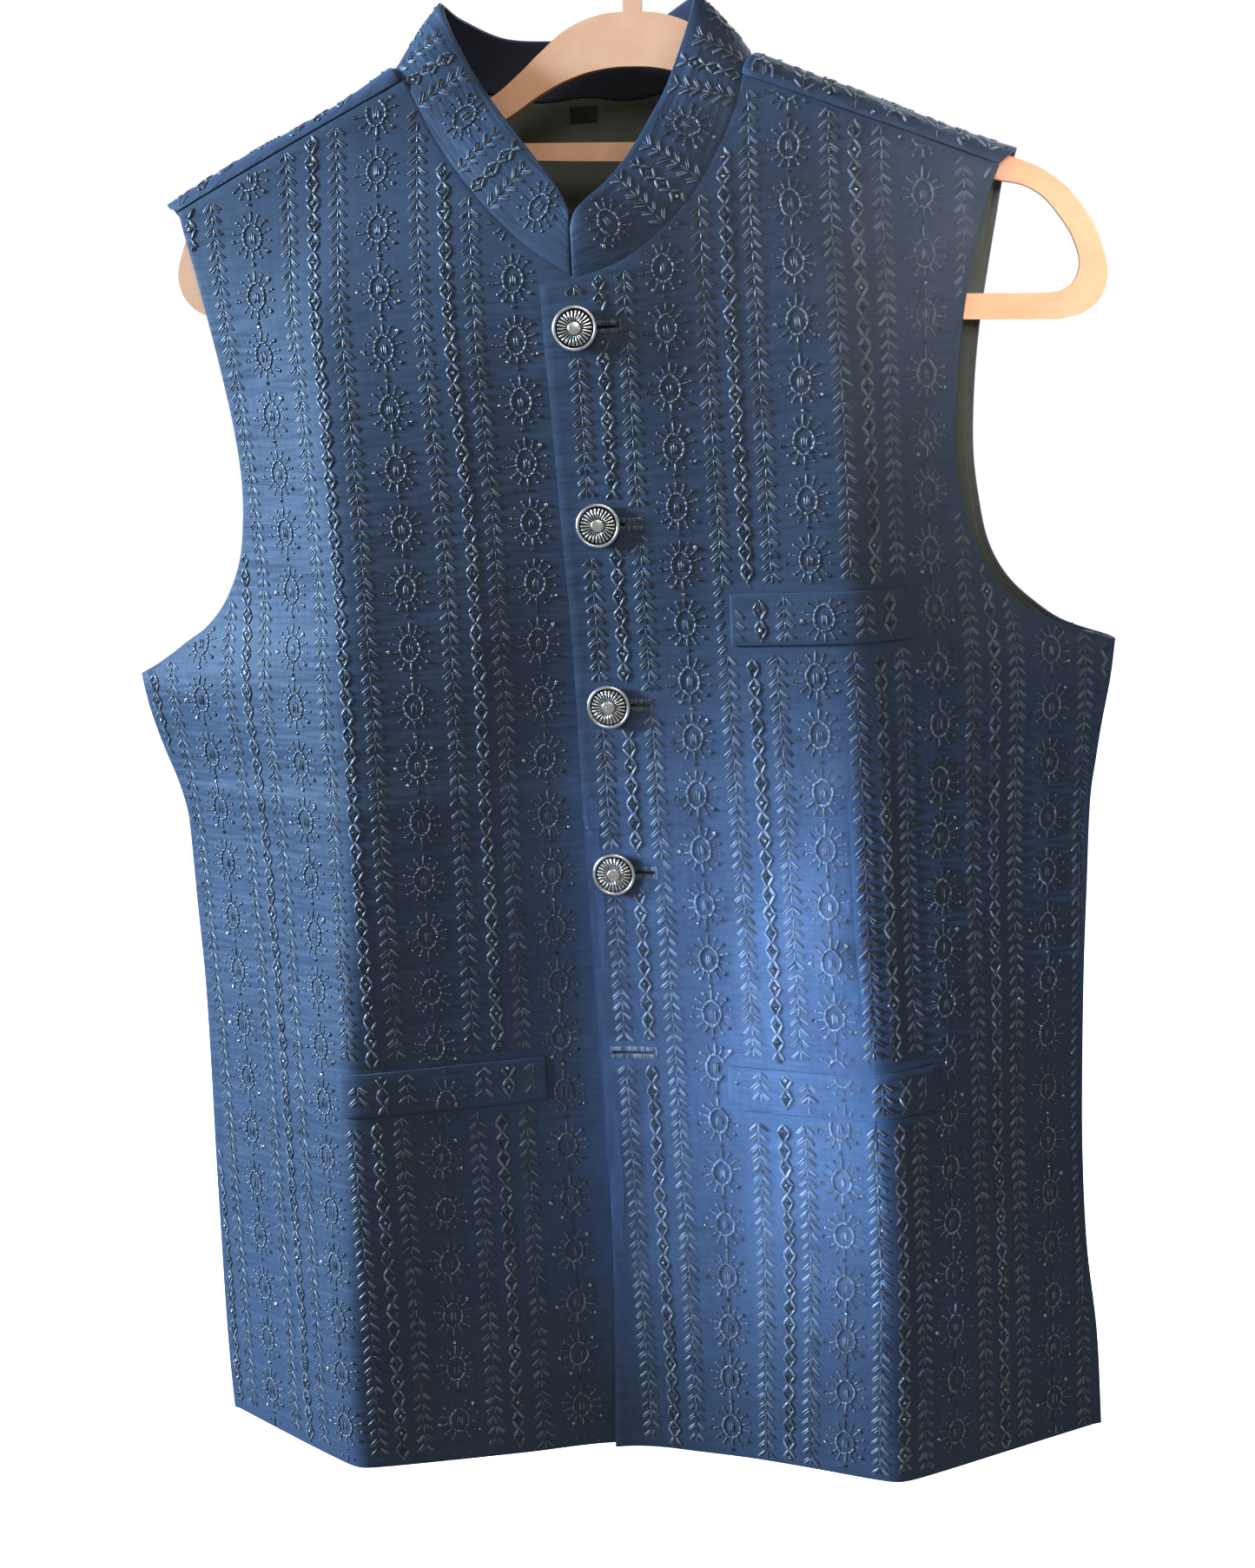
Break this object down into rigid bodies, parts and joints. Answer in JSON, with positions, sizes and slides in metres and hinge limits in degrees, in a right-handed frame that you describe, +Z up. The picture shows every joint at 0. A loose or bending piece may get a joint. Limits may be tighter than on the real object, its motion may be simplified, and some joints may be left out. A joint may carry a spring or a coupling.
{
  "type": "indian waistcoat and hanger",
  "caption": "Sleeveless embroidered waistcoat with a stand collar, buttoned front and welt pockets, hanging flat on a moulded hanger with a wire hook.",
  "frame": {"origin": "inside top of the hanger's hook, where a rail carries it", "axes": "+Z up, the fronts face -Y, the wearer's left is at +X"},
  "size_m": [0.4892, 0.127, 0.7716],
  "materials": {
    "navy_cloth": "navy cotton silk, embroidered in self-coloured thread with small sequins",
    "plain_navy": "plain dark navy collar facing",
    "olive_lining": "smooth charcoal olive lining",
    "black_tab": "woven black ribbon",
    "antique_silver": "cast, ribbed, dark in the recesses",
    "peach_plastic": "moulded, faintly marbled",
    "bright_wire": "plated wire"
  },
  "bodies": {
    "root": {"front_left": "navy_cloth", "front_right": "navy_cloth", "back": "navy_cloth", "lining_back": "olive_lining", "collar_outer": "navy_cloth", "collar_inner": "plain_navy", "chest_welt": "navy_cloth", "pocket_welt_left": "navy_cloth", "pocket_welt_right": "navy_cloth", "button_1": "antique_silver", "button_2": "antique_silver", "button_3": "antique_silver", "button_4": "antique_silver", "size_tab": "black_tab", "hanger": "peach_plastic", "hanger_hook": "bright_wire"}
  },
  "joints": []
}
